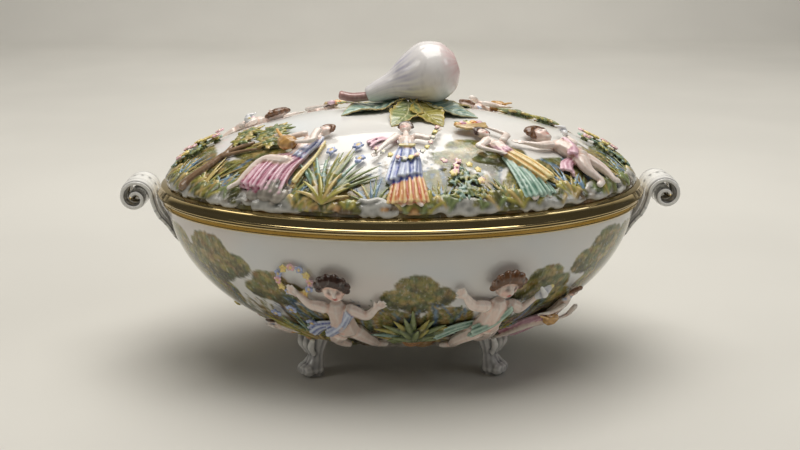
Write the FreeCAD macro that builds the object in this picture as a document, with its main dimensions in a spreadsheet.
import FreeCAD, Part
import math
import os

# Footed oval covered tureen. Millimetres, +Z up, +X along the oval, the table at z = 0.
# Two moving bodies: the bowl with its rim, handles and feet, and the lid that lifts off it.
# Handles, feet, relief and knob are luted to the walls, so each is cut by the wall that carries it.

Vector = FreeCAD.Vector
Rotation = FreeCAD.Rotation
Placement = FreeCAD.Placement

DOCUMENT = FreeCAD.newDocument("covered_tureen")
SHEET = DOCUMENT.addObject("Spreadsheet::Sheet", "Sizes")

SIZES = {
    # the oval and the seat of the lid
    "edge_half_length": 174.0,      # lid's gilt edge, the widest line of the oval
    "edge_half_width": 116.0,
    "seat_height": 124.0,           # where lid and bowl meet
    # lid
    "lid_edge_tall": 6.8,           # upright face of the lid's edge
    "lid_ledge_wide": 5.6,          # sloping gilt ledge above it
    "lid_ledge_rise": 1.6,
    "lid_ledge_lap": 0.7,           # the dome stands inside the ledge
    "lid_band_deep": 12.5,          # from the edge to the inside of the moulding
    "dome_rise": 51.0,
    "dome_crown": 5.6,              # wall at the crown of the dome
    "dome_peak": 1.5,               # exponents of the dome's curve
    "dome_round": 1.95,
    "flange_drop": 9.0,             # locating flange below the seat
    "flange_wall": 4.0,
    "flange_play": 1.5,             # between the flange and the bowl's mouth
    # bowl
    "bowl_rim_tall": 6.5,
    "bowl_rim_inset": 2.0,          # its edge stands inside the lid's edge
    "bowl_rim_lip": 4.0,            # how far the rim stands out of the wall
    "bowl_wall": 6.0,
    "bowl_floor": 7.0,
    "bowl_base_height": 22.0,       # underside above the table
    "bowl_base_share": 0.955,       # how far down the curve the flat base cuts
    "bowl_swell": 1.75,             # exponents of the bowl's curve
    "bowl_round": 2.6,
    # scroll handles
    "handle_out": 26.0,             # outermost point, beyond the lid's edge
    "handle_above": 11.0,           # top of the scroll, above the seat
    "handle_wide": 34.0,
    "handle_strap": 4.2,
    "handle_scroll": 10.5,          # radius of the scroll's first quarter
    "handle_eye": 2.7,
    "handle_tail_wide": 9.0,
    "handle_drop": 45.0,            # end of the tail, below the seat
    "handle_bend": 25.0,            # where the strap turns down to the wall
    "handle_slope": 58.0,           # degrees of the run down to the tail
    # feet
    "foot_inset": 0.3,              # middle of the sole, inside the base's half length
    "foot_outset": 4.4,             # and outside its half width
    "foot_lean": 6.0,               # how far the top stands in from the sole
    "foot_sole": 9.0,
    "foot_ankle": 6.4,
    "foot_top": 11.0,
    "foot_lap": 14.0,               # how far the foot climbs the wall above the base
    "foot_toe": 4.6,                # radius of the rolled toe
    # relief
    "relief_deep": 6.0,
    "lid_bank_deep": 2.6,
    "lid_bank_tall": 5.0,
    "lid_ground": 0.975,            # share of the dome's curve where the figures stand
    "bowl_bank_deep": 2.6,
    "bowl_bank_tall": 9.0,
    "bowl_ground": 0.86,
    "bowl_relief_gap": 4.0,         # bare wall under the rim
    # knob
    "pear_long": 69.0,
    "pear_belly": 22.0,
    "pear_neck": 7.4,
    "pear_tilt": 20.0,
    "pear_sink": 0.52,              # how far the pear presses into its leaves
    "pear_shift": 8.0,              # middle of the pear, to the right of the lid's middle
    "stem_thick": 2.1,
    "stem_bend": 34.0,
    "stem_sweep": 36.0,             # degrees of its bend
    "leaf_long": 40.0,
    "leaf_wide": 19.0,
    "leaf_thick": 3.4,
    "leaf_start": 9.0,              # from the knob's middle to the leaf's root
    # seats
    "slip": 0.15,                   # slip joint between luted pieces
}


def fill_sheet():
    for row, (name, number) in enumerate(SIZES.items(), start=1):
        SHEET.set(f"A{row}", name)
        SHEET.set(f"B{row}", str(number))
        SHEET.setAlias(f"B{row}", name)
    DOCUMENT.recompute()


def size(name):
    return float(SHEET.get(name))


def bind(thing, **expressions):
    """Binds properties to expressions. Words that name a size are looked up in the sheet."""
    for name, text in expressions.items():
        thing.setExpression(name.replace("__", "."), looked_up(text))
    return thing


def looked_up(text):
    words = "".join(letter if letter.isalnum() or letter == "_" else " " for letter in text).split()
    for word in sorted(set(words), key=len, reverse=True):
        if word in SIZES:
            text = swap_word(text, word)
    return text


def swap_word(text, word):
    pieces = []
    place = 0
    while True:
        found = text.find(word, place)
        if found < 0:
            return "".join(pieces) + text[place:]
        end = found + len(word)
        before = text[found - 1] if found else " "
        after = text[end] if end < len(text) else " "
        whole = not (before.isalnum() or before in "_." or after.isalnum() or after == "_")
        pieces.append(text[place:found] + ("Sizes." + word if whole else word))
        place = end


def make(kind, name, **expressions):
    return bind(DOCUMENT.addObject(kind, name), **expressions)


def oval(name, half_length, half_width, height):
    return make("Part::Ellipse", name, MajorRadius=half_length, MinorRadius=half_width,
                Placement__Base__z=height)


def loft(name, rings):
    skin = make("Part::Loft", name)
    skin.Sections = rings
    skin.Solid = True
    return skin


def cut(name, base, tool):
    result = make("Part::Cut", name)
    result.Base = base
    result.Tool = tool
    return result


def fuse(name, shapes):
    result = make("Part::MultiFuse", name)
    result.Shapes = shapes
    return result


def common(name, shapes):
    result = make("Part::MultiCommon", name)
    result.Shapes = shapes
    return result


def plane(body, role):
    return next(item for item in body.Origin.OriginFeatures if item.Role == role)


def sketch_on(body, role, name):
    drawing = body.newObject("Sketcher::SketchObject", name)
    drawing.AttachmentSupport = (plane(body, role), [""])
    drawing.MapMode = "FlatFace"
    return drawing


def draw_loop(drawing, points):
    for start, end in zip(points, points[1:] + points[:1]):
        drawing.addGeometry(Part.LineSegment(Vector(*start, 0), Vector(*end, 0)))


# Heights and half axes that several pieces share, as expressions of the sheet.
DOME_FOOT = "(seat_height + lid_edge_tall + lid_ledge_rise)"
DOME_LENGTH = "(edge_half_length - lid_ledge_wide - lid_ledge_lap)"
DOME_WIDTH = "(edge_half_width - lid_ledge_wide - lid_ledge_lap)"
RIM_LENGTH = "(edge_half_length - bowl_rim_inset)"
RIM_WIDTH = "(edge_half_width - bowl_rim_inset)"
WALL_TOP = "(seat_height - bowl_rim_tall)"
WALL_LENGTH = f"({RIM_LENGTH} - bowl_rim_lip)"
WALL_WIDTH = f"({RIM_WIDTH} - bowl_rim_lip)"
MOUTH_LENGTH = f"({WALL_LENGTH} - bowl_wall)"
MOUTH_WIDTH = f"({WALL_WIDTH} - bowl_wall)"
FLANGE_LENGTH = f"({MOUTH_LENGTH} - flange_play)"
FLANGE_WIDTH = f"({MOUTH_WIDTH} - flange_play)"
LID_CAVE_LENGTH = f"({FLANGE_LENGTH} - flange_wall)"
LID_CAVE_WIDTH = f"({FLANGE_WIDTH} - flange_wall)"
DOME_TOP = f"({DOME_FOOT} + dome_rise)"
BASE_NARROWING = "(1 - bowl_base_share^bowl_swell)^(1 / bowl_round)"
FOOT_TALL = "(bowl_base_height + foot_lap)"
BOWL_DEPTH = f"(({WALL_TOP} - bowl_base_height) / bowl_base_share)"

DOME_SHARES = (1.0, 0.95, 0.82, 0.62, 0.38, 0.12)
BOWL_SHARES = (0.0, 0.2, 0.45, 0.68, 0.85)


def dome(name, length, width, foot, rise, grown="0"):
    """A domed oval. Its rings shrink to the crown along a curve of two exponents."""
    rings = []
    for share in DOME_SHARES:
        height = f"{foot} + ({rise} + {grown}) * (1 - {share}^dome_round)^(1 / dome_peak)"
        rings.append(oval(name + "_ring", f"({length} + {grown}) * {share}",
                          f"({width} + {grown}) * {share}", height))
    return loft(name, rings)


def basin(name, length, width, deep, grown="0"):
    """A basin hanging from the wall's top edge, with a flat base."""
    rings = []
    for share in BOWL_SHARES + ("bowl_base_share",):
        narrowing = f"(1 - {share}^bowl_swell)^(1 / bowl_round)"
        rings.append(oval(name + "_ring", f"({length}) * {narrowing} + {grown}",
                          f"({width}) * {narrowing} + {grown}",
                          f"{WALL_TOP} - {share} * ({deep} + {grown} / bowl_base_share)"))
    return loft(name, rings)


def drum(name, length, width, low, high):
    """An upright oval cylinder."""
    rings = [oval(name + "_ring", length, width, height) for height in (low, high)]
    return loft(name, rings)


def evaluate(text):
    """The number that an expression of the sheet stands for."""
    gauge = make("Part::Ellipse", "gauge")
    bind(gauge, Placement__Base__x=text)
    DOCUMENT.recompute()
    number = gauge.Placement.Base.x
    DOCUMENT.removeObject(gauge.Name)
    return number


class Wall:
    """A curved wall as a formula, to find where a luted piece sits and which way it faces."""

    def __init__(self, length, width, ring, height):
        self.length = length
        self.width = width
        self.ring = ring
        self.height = height

    def point(self, share, angle):
        turn = math.radians(angle)
        ring = self.ring(share)
        return Vector(self.length * ring * math.cos(turn), self.width * ring * math.sin(turn),
                      self.height(share))

    def frame(self, share, angle):
        """Seen from outside: X to the right along the wall, Y up it and Z out of it."""
        step = 0.01
        along = self.point(share, angle + step) - self.point(share, angle - step)
        up = self.point(share + step, angle) - self.point(share - step, angle)
        if up.z < 0:
            up = up * -1
        out = along.cross(up)
        return Placement(self.point(share, angle), Rotation(along, up, out, "ZXY"))

    def stretch(self, low, high, angle, steps=60):
        """The length of the wall from one share up to another, and the share halfway along it."""
        shares = [low + (high - low) * step / steps for step in range(steps + 1)]
        points = [self.point(share, angle) for share in shares]
        runs = [0.0]
        for start, end in zip(points, points[1:]):
            runs.append(runs[-1] + (end - start).Length)
        middle = next(share for share, run in zip(shares, runs) if run >= runs[-1] / 2)
        return runs[-1], middle


def build_bowl():
    shell = basin("bowl_outside", WALL_LENGTH, WALL_WIDTH, BOWL_DEPTH)
    cave_deep = f"({BOWL_DEPTH} - bowl_floor / bowl_base_share)"
    cave = basin("bowl_inside", MOUTH_LENGTH, MOUTH_WIDTH, cave_deep)
    return cut("bowl_shell", shell, cave)


def build_moulding(name, length, width, height, outline):
    """A gilt moulding: its section, drawn on the XZ plane, carried round an oval."""
    body = make("PartDesign::Body", name)
    bind(body, Placement__Base__z=height)
    section = sketch_on(body, "XZ_Plane", name + "_section")
    outline(section)
    path = sketch_on(body, "XY_Plane", name + "_path")
    ring = path.addGeometry(Part.Ellipse(Vector(0, 0, 0), evaluate(length), evaluate(width)))
    path.exposeInternalGeometry(ring)
    DOCUMENT.recompute()
    band = body.newObject("PartDesign::AdditivePipe", name + "_band")
    band.Profile = section
    band.Spine = (path, ["Edge1"])
    return body


def draw_lid_edge(section):
    """Flat underside, swelling edge, sloping ledge and a flat inner land for the dome."""
    edge = size("edge_half_length")
    inside = edge - size("lid_band_deep")
    tall = size("lid_edge_tall")
    top = tall + size("lid_ledge_rise")
    land = edge - size("lid_ledge_wide")
    corner = (edge - 0.6, tall)
    foot = (edge - 1.4, 0)
    draw_loop_with_arcs(section, [
        ((inside, 0), None), (foot, (edge, tall * 0.5)), (corner, None), ((land, top), None),
        ((inside, top), None)])


def draw_bowl_rim(section):
    """Flat seat on top, a bead, a cove and a lower bead that returns to the wall."""
    edge = evaluate(RIM_LENGTH)
    inside = evaluate(MOUTH_LENGTH)
    wall = evaluate(WALL_LENGTH)
    tall = size("bowl_rim_tall")
    neck = (edge + wall) / 2
    bead = (edge - neck) / 2
    draw_loop(section, [
        (inside, 0), (wall, 0), (neck, tall * 0.03), (neck + bead, tall * 0.12), (neck + bead, tall * 0.26),
        (neck, tall * 0.36), (neck - bead, tall * 0.46), (neck, tall * 0.56), (edge - 0.3, tall * 0.66),
        (edge, tall * 0.8), (edge - 0.4, tall * 0.93), (edge - 1.2, tall), (inside, tall)])


def draw_loop_with_arcs(section, steps):
    """A closed outline. A step's second point, where it has one, lies on the arc to the next step."""
    for (start, through), (end, _) in zip(steps, steps[1:] + steps[:1]):
        if through is None:
            section.addGeometry(Part.LineSegment(Vector(*start, 0), Vector(*end, 0)))
        else:
            section.addGeometry(Part.Arc(Vector(*start, 0), Vector(*through, 0), Vector(*end, 0)))


def build_lid_shell():
    outside = dome("dome_outside", DOME_LENGTH, DOME_WIDTH, DOME_FOOT, "dome_rise")
    flange_low = "(seat_height - flange_drop)"
    flange = drum("flange", FLANGE_LENGTH, FLANGE_WIDTH, flange_low, f"{DOME_FOOT} + 4")
    solid = fuse("lid_solid", [outside, flange])
    throat = drum("throat", LID_CAVE_LENGTH, LID_CAVE_WIDTH, f"{flange_low} - 1", DOME_FOOT)
    cave = dome("dome_inside", LID_CAVE_LENGTH, LID_CAVE_WIDTH, DOME_FOOT, "(dome_rise - dome_crown)")
    return cut("lid_shell", solid, fuse("lid_cave", [throat, cave]))


SCROLL_QUARTERS = (1.0, 0.95, 0.76, 0.57, 0.44, 0.32)


def scroll_sides(half):
    """Both sides of the strap as it rolls up: quarter arcs of shrinking radius, then the eye."""
    first = size("handle_scroll")
    corner = Vector(0, 0, 0)
    headings = [Vector(0, 1, 0), Vector(1, 0, 0), Vector(0, -1, 0), Vector(-1, 0, 0)]
    outer, inner = [], []
    for index, share in enumerate(SCROLL_QUARTERS):
        radius = first * share
        ahead = headings[index % 4]
        right = headings[(index + 1) % 4]
        centre = corner + right * radius
        diagonal = (ahead - right) * math.sqrt(0.5)
        for side, reach in ((outer, radius + half), (inner, radius - half)):
            side.append((centre - right * reach, centre + diagonal * reach, centre + ahead * reach))
        corner = centre + ahead * radius
    return outer, inner, corner


def build_handle(name, turn):
    """A strap that climbs from a leaf tail on the wall, clears the rim and rolls into a scroll."""
    half = size("handle_strap") / 2
    first = size("handle_scroll")
    reach = size("edge_half_length") + size("handle_out")
    top = size("seat_height") + size("handle_above")
    origin = Vector(reach - half - first * sum(SCROLL_QUARTERS[:2]), top - half - first, 0)
    outer, inner, end = scroll_sides(half)
    bend = size("handle_bend")
    slope = math.radians(size("handle_slope"))
    hub = Vector(-bend, 0, 0)
    body = make("PartDesign::Body", name + "_strap")
    outline = sketch_on(body, "XZ_Plane", name + "_outline")
    tail = size("seat_height") - size("handle_drop")
    run = (origin.y - bend * math.cos(slope) - tail) / math.sin(slope)
    back = Vector(math.cos(slope), math.sin(slope), 0) * -run

    def place(point):
        return origin + point

    def arc(points):
        start, middle, stop = [place(point) for point in points]
        outline.addGeometry(Part.Arc(start, middle, stop))

    def line(start, stop):
        outline.addGeometry(Part.LineSegment(place(start), place(stop)))

    def round_hub(reach, angle):
        return hub + Vector(math.cos(angle), math.sin(angle), 0) * reach

    low = slope - math.pi / 2
    near = [round_hub(bend + half, angle) for angle in (low, low / 2, 0)]
    far = [round_hub(bend - half, angle) for angle in (low, low / 2, 0)]
    for points in [near] + inner:
        arc(points)
    arc([inner[-1][2], end - Vector(0, half, 0), outer[-1][2]])
    for points in reversed([far] + outer):
        arc(points[::-1])
    line(far[0], far[0] + back)
    line(far[0] + back, near[0] + back)
    line(near[0] + back, near[0])
    strap = body.newObject("PartDesign::Pad", name + "_pad")
    strap.Profile = outline
    strap.Midplane = True
    bind(strap, Length="handle_wide")
    DOCUMENT.recompute()
    eye_sketch = sketch_on(body, "XZ_Plane", name + "_eye_ring")
    eye_sketch.addGeometry(Part.Circle(place(end - Vector(0, 0.4 * half, 0)), Vector(0, 0, 1),
                                       size("handle_eye")))
    eye = body.newObject("PartDesign::Pad", name + "_eye")
    eye.Profile = eye_sketch
    eye.Midplane = True
    bind(eye, Length="handle_wide + 2")
    DOCUMENT.recompute()
    trim_tail(body, name, tail, origin.y)
    body.Placement = Placement(Vector(0, 0, 0), Rotation(Vector(0, 0, 1), turn))
    return cut(name, body, GROWN["bowl"])


def trim_tail(body, name, tail, start):
    """Narrows the strap to a lobed leaf tip where it lies on the wall."""
    wide = size("handle_wide") / 2
    narrow = size("handle_tail_wide") / 2
    low = tail - 12
    high = start - 8
    middle = (low + high) / 2 + 6
    side = sketch_on(body, "YZ_Plane", name + "_tail")
    for sign in (1, -1):
        draw_loop_with_arcs(side, [
            ((sign * narrow, low), (sign * (narrow + 4.5), (low + middle) / 2 - 2)),
            ((sign * (narrow + 2.5), middle - 3), (sign * (wide + 0.5), middle + 2)),
            ((sign * (wide + 3), high), None), ((sign * (wide + 8), high), None),
            ((sign * (wide + 8), low), None)])
    pocket = body.newObject("PartDesign::Pocket", name + "_tail_cut")
    pocket.Profile = side
    pocket.Type = "ThroughAll"
    pocket.Midplane = True


def build_foot(name, side_x, side_y):
    """A splayed leg, narrow at the ankle, with a rolled toe and a flat sole."""
    apart_x = evaluate(f"{WALL_LENGTH} * {BASE_NARROWING} - foot_inset")
    apart_y = evaluate(f"{WALL_WIDTH} * {BASE_NARROWING} + foot_outset")
    sole = Vector(side_x * apart_x, side_y * apart_y, 0)
    outward = Vector(sole.x, sole.y, 0).normalize()
    turn = math.degrees(math.atan2(outward.y, outward.x))
    stations = ((0.0, "foot_sole", 0.78), (0.1, "foot_sole + 0.8", 0.8), (0.26, "foot_sole - 1.2", 0.82),
                (0.5, "foot_ankle", 0.95), (0.74, "(foot_ankle + foot_top) / 2", 0.92),
                (1.0, "foot_top", 0.9))
    rings = []
    for share, radius, aspect in stations:
        ring = oval(name + "_ring", radius, f"({radius}) * {aspect}", f"{FOOT_TALL} * {share}")
        lean = outward * size("foot_lean") * -share
        ring.Placement.Base.x = sole.x + lean.x
        ring.Placement.Base.y = sole.y + lean.y
        ring.Placement.Rotation = Rotation(Vector(0, 0, 1), turn)
        rings.append(ring)
    leg = loft(name + "_leg", rings)
    toe = make("Part::Cylinder", name + "_toe", Radius="foot_toe", Height="foot_sole * 1.3")
    reach = size("foot_sole") - size("foot_toe") * 0.55
    across = Vector(-outward.y, outward.x, 0)
    start = sole + outward * reach - across * size("foot_sole") * 0.65
    toe.Placement = Placement(start + Vector(0, 0, size("foot_toe") + 0.4), Rotation(Vector(0, 0, 1), across))
    return cut(name, fuse(name + "_whole", [leg, toe]), GROWN["bank"])


# Outlines of the relief, seen from outside, in shares of a motif's height, feet at v = 0.
GARLAND_BEARER = ((-0.17, 0), (0.0, -0.02), (0.19, 0.0), (0.14, 0.26), (0.085, 0.5), (0.16, 0.66),
                  (0.31, 0.8), (0.26, 0.87), (0.1, 0.77), (0.085, 0.9), (0.0, 1.0), (-0.085, 0.9),
                  (-0.1, 0.76), (-0.25, 0.62), (-0.3, 0.48), (-0.23, 0.46), (-0.085, 0.52), (-0.13, 0.26))
SEATED_PLAYER = ((-0.34, 0.0), (-0.1, -0.02), (0.2, 0.0), (0.26, 0.16), (0.19, 0.34), (0.13, 0.62),
                 (0.09, 0.7), (0.13, 0.86), (0.03, 0.98), (-0.07, 0.88), (-0.04, 0.7), (-0.2, 0.58),
                 (-0.26, 0.42), (-0.31, 0.22))
RECLINER = ((-0.5, 0.02), (-0.2, -0.03), (0.3, 0.0), (0.42, 0.08), (0.42, 0.32), (0.32, 0.48),
            (0.35, 0.72), (0.22, 0.86), (0.09, 0.72), (0.12, 0.48), (-0.1, 0.36), (-0.36, 0.24), (-0.5, 0.14))
CHILD = ((-0.16, 0.0), (-0.02, 0.04), (0.17, 0.0), (0.12, 0.24), (0.13, 0.46), (0.32, 0.56),
         (0.3, 0.66), (0.12, 0.66), (0.16, 0.84), (0.03, 1.0), (-0.12, 0.86), (-0.11, 0.66),
         (-0.28, 0.78), (-0.33, 0.7), (-0.14, 0.46), (-0.13, 0.24))
BASKET_BEARER = ((-0.18, 0.0), (0.0, -0.02), (0.17, 0.0), (0.14, 0.24), (0.09, 0.46), (0.2, 0.6),
                 (0.19, 0.76), (0.17, 0.88), (0.2, 1.0), (0.0, 1.06), (-0.18, 1.0), (-0.14, 0.88),
                 (-0.09, 0.74), (-0.14, 0.64), (-0.25, 0.5), (-0.2, 0.44), (-0.09, 0.5), (-0.14, 0.24))


def mirrored(outline):
    return [(-across, up) for across, up in reversed(outline)]


def tree_outline(lobes=5):
    """A trunk under a lobed crown."""
    crown = []
    for index in range(2 * lobes + 1):
        turn = math.radians(-58 + 296 * index / (2 * lobes))
        reach = 1.0 if index % 2 else 0.8
        crown.append((0.3 * reach * math.cos(turn), 0.68 + 0.3 * reach * math.sin(turn)))
    return [(-0.08, 0.0), (0.09, 0.0), (0.045, 0.3)] + crown + [(-0.045, 0.3)]


def bush_outline(lobes=5):
    """A mound of leaves, lobed at the top."""
    mound = [(0.26, 0.02), (-0.26, 0.02)]
    for index in range(2 * lobes + 1):
        turn = math.radians(196 - 212 * index / (2 * lobes))
        reach = 1.0 if index % 2 else 0.82
        mound.append((0.36 * reach * math.cos(turn), 0.42 + 0.52 * reach * math.sin(turn)))
    return mound


def aloe_outline(blades=5):
    """A pot with a fan of pointed blades."""
    fan = [(-0.12, 0.0), (0.12, 0.0), (0.15, 0.26)]
    for index in range(blades):
        turn = math.radians(28 + 124 * index / (blades - 1))
        fan.append((0.62 * math.cos(turn) * 0.75, 0.3 + 0.66 * math.sin(turn)))
        if index < blades - 1:
            valley = turn + math.radians(62 / (blades - 1))
            fan.append((0.24 * math.cos(valley), 0.3 + 0.3 * math.sin(valley)))
    return fan + [(-0.15, 0.26)]


def reed_outline(blades=5):
    """A tuft of upright pointed blades."""
    tuft = [(-0.16, 0.0), (0.16, 0.0)]
    for index in range(blades):
        turn = math.radians(52 + 76 * index / (blades - 1))
        tuft.append((0.95 * math.cos(turn) * 0.55, 0.95 * math.sin(turn)))
        if index < blades - 1:
            valley = turn + math.radians(38 / (blades - 1))
            tuft.append((0.34 * math.cos(valley), 0.5 * math.sin(valley)))
    return tuft


def build_sprig(name, wall, field, ground, head, angle, outline):
    """A low relief: an outline padded out of the wall and kept within the relief's depth."""
    height, middle = wall.stretch(size(ground), head, angle)
    points = [(across * height, up * height - height / 2) for across, up in outline]
    body = make("PartDesign::Body", name + "_body")
    drawing = sketch_on(body, "XY_Plane", name + "_outline")
    draw_loop(drawing, points)
    pad = body.newObject("PartDesign::Pad", name + "_pad")
    pad.Profile = drawing
    pad.Midplane = True
    bind(pad, Length="relief_deep * 10")
    body.Placement = wall.frame(middle, angle)
    return common(name, [body, field])


def leaf_blade(name, angle, long_share):
    """A pointed leaf lying on the dome and notched where the pear presses on it."""
    long = size("leaf_long") * long_share
    half = size("leaf_wide") * long_share / 2
    start = size("leaf_start")
    body = make("PartDesign::Body", name + "_body")
    drawing = sketch_on(body, "XY_Plane", name + "_outline")
    draw_loop_with_arcs(drawing, [((start, 0), (start + long * 0.45, -half)),
                                  ((start + long, 0), (start + long * 0.45, half))])
    pad = body.newObject("PartDesign::Pad", name + "_pad")
    pad.Profile = drawing
    bind(pad, Length=f"{DOME_TOP} + 20")
    body.Placement = Placement(Vector(size("pear_shift"), 0, 0), Rotation(Vector(0, 0, 1), angle))
    return cut(name, common(name + "_sheet", [body, GROWN["leaf_layer"]]), GROWN["pear"])


def pear_body(name, grown):
    """A pear turned about its own length, lying with its neck to the left."""
    long = size("pear_long") + grown
    belly = size("pear_belly") + grown
    neck = size("pear_neck") + grown
    body = make("PartDesign::Body", name)
    drawing = sketch_on(body, "XY_Plane", name + "_profile")
    stations = ((-grown, 0.0), (0.02 * long, neck * 0.68), (0.12 * long, neck), (0.29 * long, neck * 1.36),
                (0.48 * long, belly * 0.78), (0.69 * long, belly), (0.88 * long, belly * 0.8),
                (0.98 * long, belly * 0.34), (long, 0.0))
    curve = Part.BSplineCurve()
    points = [Vector(along, radius, 0) for along, radius in stations]
    curve.interpolate(points)
    drawing.addGeometry(curve)
    drawing.addGeometry(Part.LineSegment(points[-1], points[0]))
    turned = body.newObject("PartDesign::Revolution", name + "_turned")
    turned.Profile = drawing
    turned.ReferenceAxis = (drawing, ["H_Axis"])
    turned.Angle = 360
    tilt = math.radians(size("pear_tilt"))
    middle = size("pear_long") * 0.69
    along = Vector(math.cos(tilt), 0, math.sin(tilt))
    seat = evaluate(DOME_TOP) + size("leaf_thick") - size("pear_sink")
    belly_at = Vector(size("pear_shift") + 12, 0, seat + size("pear_belly") * 1.005)
    body.Placement = Placement(belly_at - along * middle, Rotation(Vector(0, 1, 0), -size("pear_tilt")))
    return body


def build_stem(pear):
    """A bent twig growing out of the pear's neck."""
    twig = make("Part::Torus", "twig", Radius1="stem_bend", Radius2="stem_thick", Angle3="stem_sweep")
    start = pear.Placement.multVec(Vector(1.5, 0, 0))
    tilt = math.radians(size("pear_tilt"))
    away = Vector(-math.cos(tilt), 0, -math.sin(tilt))
    inward = Vector(-math.sin(tilt), 0, math.cos(tilt))
    turned = Rotation(inward * -1, away, Vector(0, 1, 0), "ZXY")
    twig.Placement = Placement(start + inward * size("stem_bend"), turned)
    return cut("pear_stem", twig, GROWN["pear"])


def skin_of_dome(name, deep):
    """A layer of even depth on the dome."""
    grown = dome(f"dome_{name}", DOME_LENGTH, DOME_WIDTH, DOME_FOOT, "dome_rise", deep)
    return cut(f"dome_{name}_skin", grown, GROWN["dome"])


def skin_of_bowl(name, deep):
    """A layer of even depth on the bowl."""
    grown = basin(f"bowl_{name}", WALL_LENGTH, WALL_WIDTH, BOWL_DEPTH, deep)
    return cut(f"bowl_{name}_skin", grown, GROWN["bowl"])


def build_layers():
    """Grown copies of the walls: cutters for luted pieces, and the fields the relief lies in."""
    GROWN["bowl"] = basin("bowl_cutter", WALL_LENGTH, WALL_WIDTH, BOWL_DEPTH, "slip")
    GROWN["dome"] = dome("dome_cutter", DOME_LENGTH, DOME_WIDTH, DOME_FOOT, "dome_rise", "slip")
    bowl_skin = skin_of_bowl("relief", "relief_deep")
    dome_skin = skin_of_dome("relief", "relief_deep")
    GROWN["leaf_layer"] = skin_of_dome("leaf", "leaf_thick")
    lid_bank_top = f"{DOME_FOOT} + lid_bank_tall"
    bowl_bank_top = "bowl_base_height + bowl_bank_tall"
    wide = (f"{DOME_LENGTH} + 20", f"{DOME_WIDTH} + 20")
    lid_bank = drum("lid_bank_slab", *wide, DOME_FOOT, lid_bank_top)
    GROWN["lid_bank"] = common("lid_rock_bank", [skin_of_dome("bank", "lid_bank_deep"), lid_bank])
    lid_field = drum("lid_field_slab", *wide, f"{lid_bank_top} + slip", f"{DOME_TOP} + 30")
    GROWN["lid_field"] = common("lid_field", [dome_skin, lid_field])
    bowl_bank = drum("bowl_bank_slab", *wide, "bowl_base_height", bowl_bank_top)
    GROWN["bowl_bank"] = common("bowl_ground_bank", [skin_of_bowl("bank", "bowl_bank_deep"), bowl_bank])
    GROWN["bank"] = basin("bank_cutter", WALL_LENGTH, WALL_WIDTH, BOWL_DEPTH, "(bowl_bank_deep + slip)")
    bowl_field = drum("bowl_field_slab", *wide, f"{bowl_bank_top} + slip", f"{WALL_TOP} - bowl_relief_gap")
    GROWN["bowl_field"] = common("bowl_field", [bowl_skin, bowl_field])


def walls():
    peak, round_ = size("dome_peak"), size("dome_round")
    swell, bowl_round = size("bowl_swell"), size("bowl_round")
    foot, rise = evaluate(DOME_FOOT), size("dome_rise")
    top, deep = evaluate(WALL_TOP), evaluate(BOWL_DEPTH)
    lid_wall = Wall(evaluate(DOME_LENGTH), evaluate(DOME_WIDTH), lambda share: share,
                    lambda share: foot + rise * (1 - share ** round_) ** (1 / peak))
    bowl_wall = Wall(evaluate(WALL_LENGTH), evaluate(WALL_WIDTH),
                     lambda share: (1 - share ** swell) ** (1 / bowl_round),
                     lambda share: top - share * deep)
    return lid_wall, bowl_wall


FRONT = -90
# Each motif: its angle from the middle of the side, and the share of the wall's curve that its head reaches.
LID_MOTIFS = (
    ("tree", -62, 0.5, tree_outline()),
    ("player", -36, 0.48, SEATED_PLAYER),
    ("reeds", -19, 0.58, reed_outline()),
    ("garland_bearer", 1, 0.41, GARLAND_BEARER),
    ("bush", 15, 0.64, bush_outline()),
    ("basket_bearer", 33, 0.46, BASKET_BEARER),
    ("child", 57, 0.6, CHILD),
)
BOWL_MOTIFS = (
    ("recliner", -54.6, 0.61, RECLINER),
    ("reeds", -33.5, 0.46, reed_outline()),
    ("child_left", -17, 0.22, CHILD),
    ("aloe", 3, 0.45, aloe_outline()),
    ("child_right", 24, 0.22, mirrored(CHILD)),
    ("player", 50, 0.42, SEATED_PLAYER),
)
END_MOTIFS = (
    ("lid", "bush", 0.64, bush_outline()),
    ("bowl", "bush", 0.56, bush_outline(3)),
)


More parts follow.
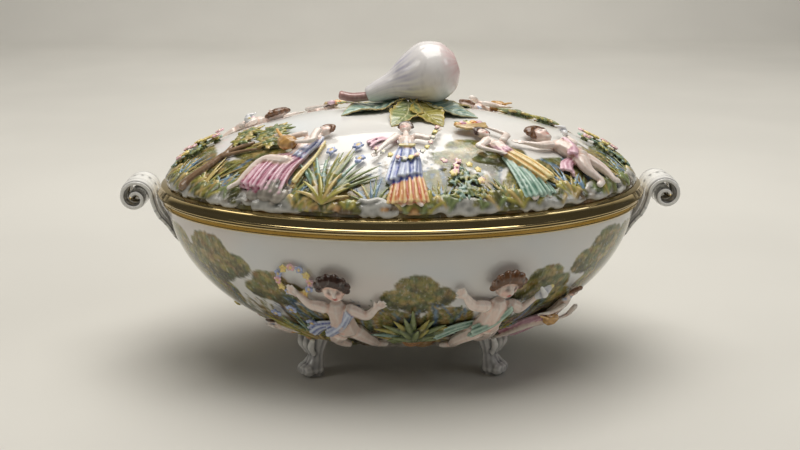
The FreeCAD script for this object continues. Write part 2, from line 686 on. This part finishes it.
def build_relief():
    """The same garden on both long sides, turned half round, and one motif at each end."""
    lid_wall, bowl_wall = walls()
    fields = {"lid": (lid_wall, GROWN["lid_field"], "lid_ground"),
              "bowl": (bowl_wall, GROWN["bowl_field"], "bowl_ground")}
    sprigs = {"lid_rock_bank": GROWN["lid_bank"], "bowl_ground_bank": GROWN["bowl_bank"]}
    for part, motifs in (("lid", LID_MOTIFS), ("bowl", BOWL_MOTIFS)):
        for side, turn in (("front", 0), ("back", 180)):
            for motif, angle, head, outline in motifs:
                name = f"{part}_{side}_{motif}"
                sprigs[name] = build_sprig(name, *fields[part], head, FRONT + angle + turn, outline)
    for part, motif, head, outline in END_MOTIFS:
        for side, angle in (("right", 0), ("left", 180)):
            name = f"{part}_{side}_{motif}"
            sprigs[name] = build_sprig(name, *fields[part], head, angle, outline)
    return sprigs


LEAVES = ((200, 1.0), (248, 0.7), (296, 0.74), (338, 0.9), (30, 0.95), (120, 0.75))


def build_all():
    pieces = {}
    build_layers()
    pieces["bowl_shell"] = build_bowl()
    pieces["bowl_rim_band"] = build_moulding("bowl_rim_band", RIM_LENGTH, RIM_WIDTH, WALL_TOP, draw_bowl_rim)
    pieces["lid_shell"] = build_lid_shell()
    pieces["lid_rim_band"] = build_moulding("lid_rim_band", "edge_half_length", "edge_half_width",
                                            "seat_height", draw_lid_edge)
    for side, turn in (("right", 0), ("left", 180)):
        name = "handle_" + side
        pieces[name] = build_handle(name, turn)
    for depth, side_y in (("front", -1), ("back", 1)):
        for side, side_x in (("left", -1), ("right", 1)):
            name = f"foot_{depth}_{side}"
            pieces[name] = build_foot(name, side_x, side_y)
    pieces.update(build_relief())
    pear = pear_body("pear_turned", 0.0)
    GROWN["pear"] = pear_body("pear_cutter", size("slip"))
    pieces["pear"] = cut("pear", pear, GROWN["dome"])
    pieces["pear_stem"] = build_stem(pear)
    for number, (angle, long_share) in enumerate(LEAVES, start=1):
        name = f"leaf_{number}"
        pieces[name] = leaf_blade(name, angle, long_share)
    return pieces


def write_pieces(pieces):
    for thing in DOCUMENT.Objects:
        if "Invalid" in thing.State or "Error" in thing.State:
            raise RuntimeError(f"{thing.Label} did not build: {thing.State}")
    os.makedirs("parts", exist_ok=True)
    for name, thing in pieces.items():
        shape = thing.Shape
        if shape.isNull() or not shape.isValid() or not shape.Solids:
            raise RuntimeError(f"{name} has no sound solid")
        thing.Label = name
        shape.exportStep(f"parts/{name}.step")
        print(f"{name}: {len(shape.Solids)} solid(s), {shape.Volume / 1000:.1f} cm3")


GROWN = {}
fill_sheet()
PIECES = build_all()
DOCUMENT.recompute()
write_pieces(PIECES)
